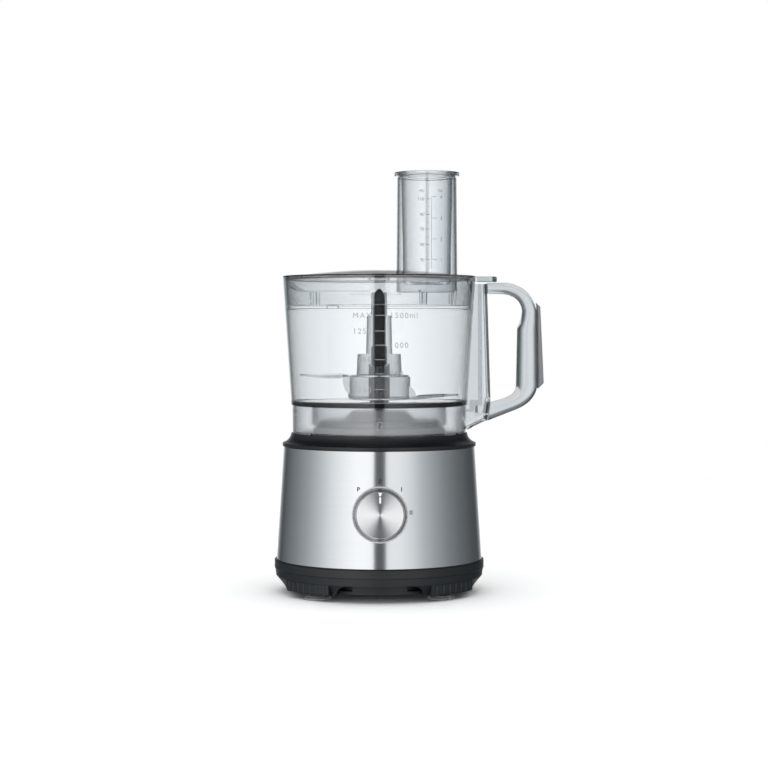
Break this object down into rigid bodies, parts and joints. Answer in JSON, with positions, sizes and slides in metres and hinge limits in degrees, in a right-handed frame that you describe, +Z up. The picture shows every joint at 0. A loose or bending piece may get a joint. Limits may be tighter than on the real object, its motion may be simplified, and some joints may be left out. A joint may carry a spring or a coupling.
{
  "type": "food processor",
  "caption": "Food processor with a steel-clad motor base, rotary knob, clear bowl with handle, sickle blade on a hub, clear lid with feed tube and pusher.",
  "frame": {"origin": "on the drive axis at floor level, under the suction feet", "axes": "+Z up along the drive axis, -Y towards the front with the knob, +X towards the bowl's handle"},
  "size_m": [0.2458, 0.2022, 0.3818],
  "materials": {
    "skirt": "fine moulded texture",
    "base_plate": "satin",
    "feet": "smooth, translucent pale grey",
    "screw_steel": "zinc plated",
    "gland_rubber": "matt",
    "housing": "moulded",
    "cover_steel": "brushed round the axis",
    "collar": "satin black",
    "deck": "satin silver grey",
    "seal_rubber": "matt",
    "chassis": "stamped sheet",
    "bearing_steel": "ground",
    "belt": "matt",
    "laminations": "stacked sheet",
    "copper": "enamelled copper wire",
    "bracket": "cast",
    "holder_brass": "stamped",
    "carbon": "pressed carbon",
    "board": "solder mask",
    "switch_body": "moulded",
    "bezel_chrome": "bright",
    "spring_steel": "drawn wire",
    "shaft_steel": "ground",
    "commutator_copper": "turned",
    "fan_plastic": "moulded",
    "pulley_metal": "turned",
    "knob_chrome": "bright",
    "knob_face": "spun",
    "pointer": "white",
    "pom": "moulded",
    "plunger": "moulded",
    "clear_plastic": "clear, cool grey tint",
    "frosted_plastic": "frosted, translucent grey",
    "grip": "soft touch",
    "spindle": "moulded",
    "hub": "translucent grey",
    "blade_steel": "ground",
    "silicone": "smooth, pale"
  },
  "bodies": {
    "base": {"base_skirt": "skirt", "base_plate": "base_plate", "suction_feet": "feet", "base_screws": "screw_steel", "cord_gland": "gland_rubber", "inner_housing": "housing", "steel_cover": "cover_steel", "top_collar": "collar", "drive_deck": "deck", "shaft_seal": "seal_rubber", "chassis_plate": "chassis", "shaft_bearings": "bearing_steel", "drive_belt": "belt", "motor_stator": "laminations", "field_coils": "copper", "lower_motor_bracket": "bracket", "upper_motor_bracket": "bracket", "motor_bearings": "bearing_steel", "brush_holders": "holder_brass", "carbon_brushes": "carbon", "circuit_board": "board", "rotary_switch": "switch_body", "knob_bezel": "bezel_chrome", "bowl_switch": "switch_body", "plunger_spring": "spring_steel"},
    "rotor": {"rotor_shaft": "shaft_steel", "rotor_core": "laminations", "rotor_windings": "copper", "commutator": "commutator_copper", "cooling_fan": "fan_plastic", "motor_pulley": "pulley_metal"},
    "output": {"output_shaft": "shaft_steel", "driven_pulley": "fan_plastic", "shaft_clip": "spring_steel"},
    "knob": {"knob_body": "knob_chrome", "knob_cap": "knob_face", "knob_pointer": "pointer", "knob_shaft": "shaft_steel"},
    "bowl_lock": {"interlock_ring": "pom"},
    "bowl_switch_pin": {"interlock_plunger": "plunger"},
    "bowl_unit": {"bowl": "clear_plastic", "interlock_column": "clear_plastic", "handle": "frosted_plastic", "handle_grip": "grip", "rod_spring": "spring_steel"},
    "lid_switch_rod": {"safety_rod": "frosted_plastic"},
    "blade_unit": {"spindle": "spindle", "blade_hub": "hub", "upper_blade": "blade_steel", "lower_blade": "blade_steel"},
    "seal": {"lid_seal": "silicone"},
    "lid_unit": {"lid": "clear_plastic"},
    "pusher_unit": {"pusher": "clear_plastic"}
  },
  "joints": [
    {"name": "knob_turn", "type": "hinge", "parent": "base", "child": "knob", "pos_m": [0, -0.09063, 0.0775], "axis": [0, 0.998, -0.0625], "range_deg": [-45, 90]},
    {"name": "motor_spin", "type": "hinge", "parent": "base", "child": "rotor", "pos_m": [0, 0.046, 0.08], "axis": [0, 0, 1], "continuous": true},
    {"name": "drive_spin", "type": "hinge", "parent": "base", "child": "output", "pos_m": [0, 0, 0.1], "axis": [0, 0, 1], "continuous": true},
    {"name": "bowl_turn", "type": "hinge", "parent": "base", "child": "bowl_lock", "pos_m": [0, 0, 0.135], "axis": [0, 0, 1], "range_deg": [0, 30]},
    {"name": "bowl_lift", "type": "slide", "parent": "bowl_lock", "child": "bowl_unit", "axis": [0, 0, 1], "range_m": [0, 0.15]},
    {"name": "blade_lift", "type": "slide", "parent": "output", "child": "blade_unit", "axis": [0, 0, 1], "range_m": [0, 0.15]},
    {"name": "lid_lift", "type": "slide", "parent": "bowl_unit", "child": "seal", "axis": [0, 0, 1], "range_m": [0, 0.1]},
    {"name": "lid_turn", "type": "hinge", "parent": "seal", "child": "lid_unit", "pos_m": [0, 0, 0.2854], "axis": [0, 0, 1], "range_deg": [0, 30]},
    {"name": "pusher_slide", "type": "slide", "parent": "lid_unit", "child": "pusher_unit", "axis": [0, 0, 1], "range_m": [0, 0.11]},
    {"name": "safety_rod_slide", "type": "slide", "parent": "bowl_unit", "child": "lid_switch_rod", "axis": [0, 0, 1], "range_m": [0, 0.003], "deforming": ["rod_spring"]},
    {"name": "switch_pin_slide", "type": "slide", "parent": "base", "child": "bowl_switch_pin", "axis": [0, 0, 1], "range_m": [0, 0.003], "deforming": ["plunger_spring"]}
  ],
  "couplings": [
    {"joint": "drive_spin", "follows": "motor_spin", "ratio": 0.20588},
    {"joint": "blade_lift", "follows": "bowl_lift", "ratio": 1},
    {"joint": "safety_rod_slide", "follows": "lid_turn", "m_per_rad": 0.00573},
    {"joint": "switch_pin_slide", "follows": "lid_turn", "m_per_rad": 0.00573}
  ]
}
